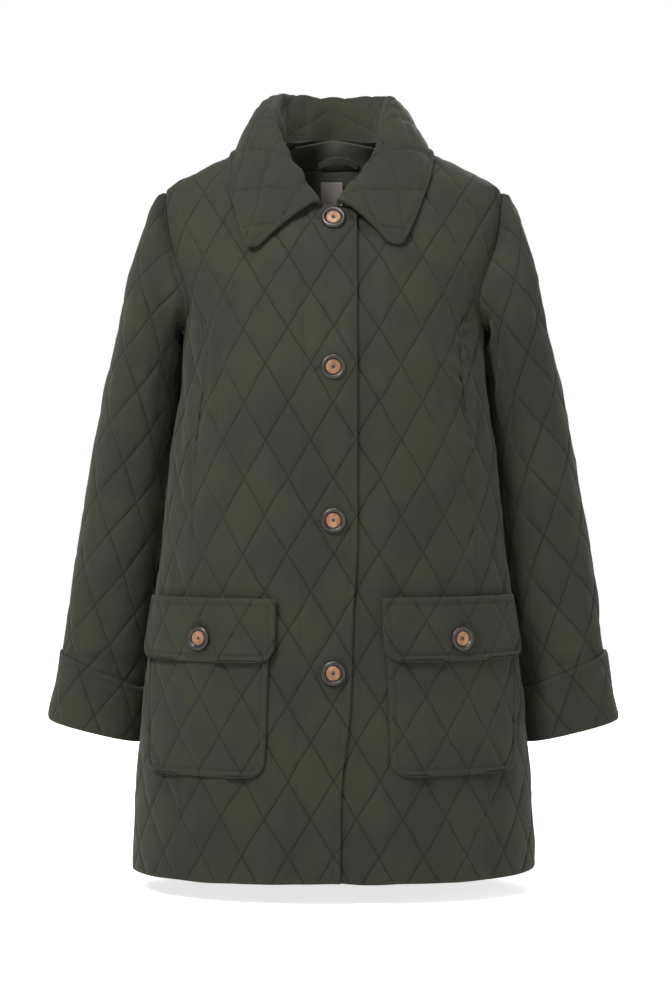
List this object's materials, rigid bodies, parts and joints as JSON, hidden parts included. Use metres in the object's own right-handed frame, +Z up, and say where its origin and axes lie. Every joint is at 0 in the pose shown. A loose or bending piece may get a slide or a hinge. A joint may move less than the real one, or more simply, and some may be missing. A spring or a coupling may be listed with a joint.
{
  "type": "quilted jacket",
  "caption": "Hip-length diamond-quilted jacket, filled out with no wearer, with a turned-down collar, turned-back cuffs and flapped patch pockets.",
  "frame": {"origin": "centre of the neck opening, level with the high points of the shoulders, where the wearer's neck and shoulders hold the jacket", "axes": "+Z up, -Y to the front, +X to the wearer's left"},
  "size_m": [0.617, 0.2742, 0.834],
  "materials": {
    "quilted_cloth": "matt peached cotton, diamond quilted, dark olive green",
    "plain_lining": "plain matt dark green lining",
    "blank_label": "plain woven greyish pink, blank",
    "horn_button": "polished dark brown horn look with a tan centre"
  },
  "bodies": {
    "root": {"front_right": "quilted_cloth", "front_left": "quilted_cloth", "side_right": "quilted_cloth", "side_left": "quilted_cloth", "back": "quilted_cloth", "sleeve_right": "quilted_cloth", "sleeve_left": "quilted_cloth", "cuff_right": "quilted_cloth", "cuff_left": "quilted_cloth", "collar": "quilted_cloth", "pocket_right": "quilted_cloth", "pocket_left": "quilted_cloth", "flap_right": "quilted_cloth", "flap_left": "quilted_cloth", "back_neck_facing": "plain_lining", "back_lining": "plain_lining", "hanger_loop": "plain_lining", "label": "blank_label", "button_1": "horn_button", "button_2": "horn_button", "button_3": "horn_button", "button_4": "horn_button", "flap_button_right": "horn_button", "flap_button_left": "horn_button"}
  },
  "joints": []
}
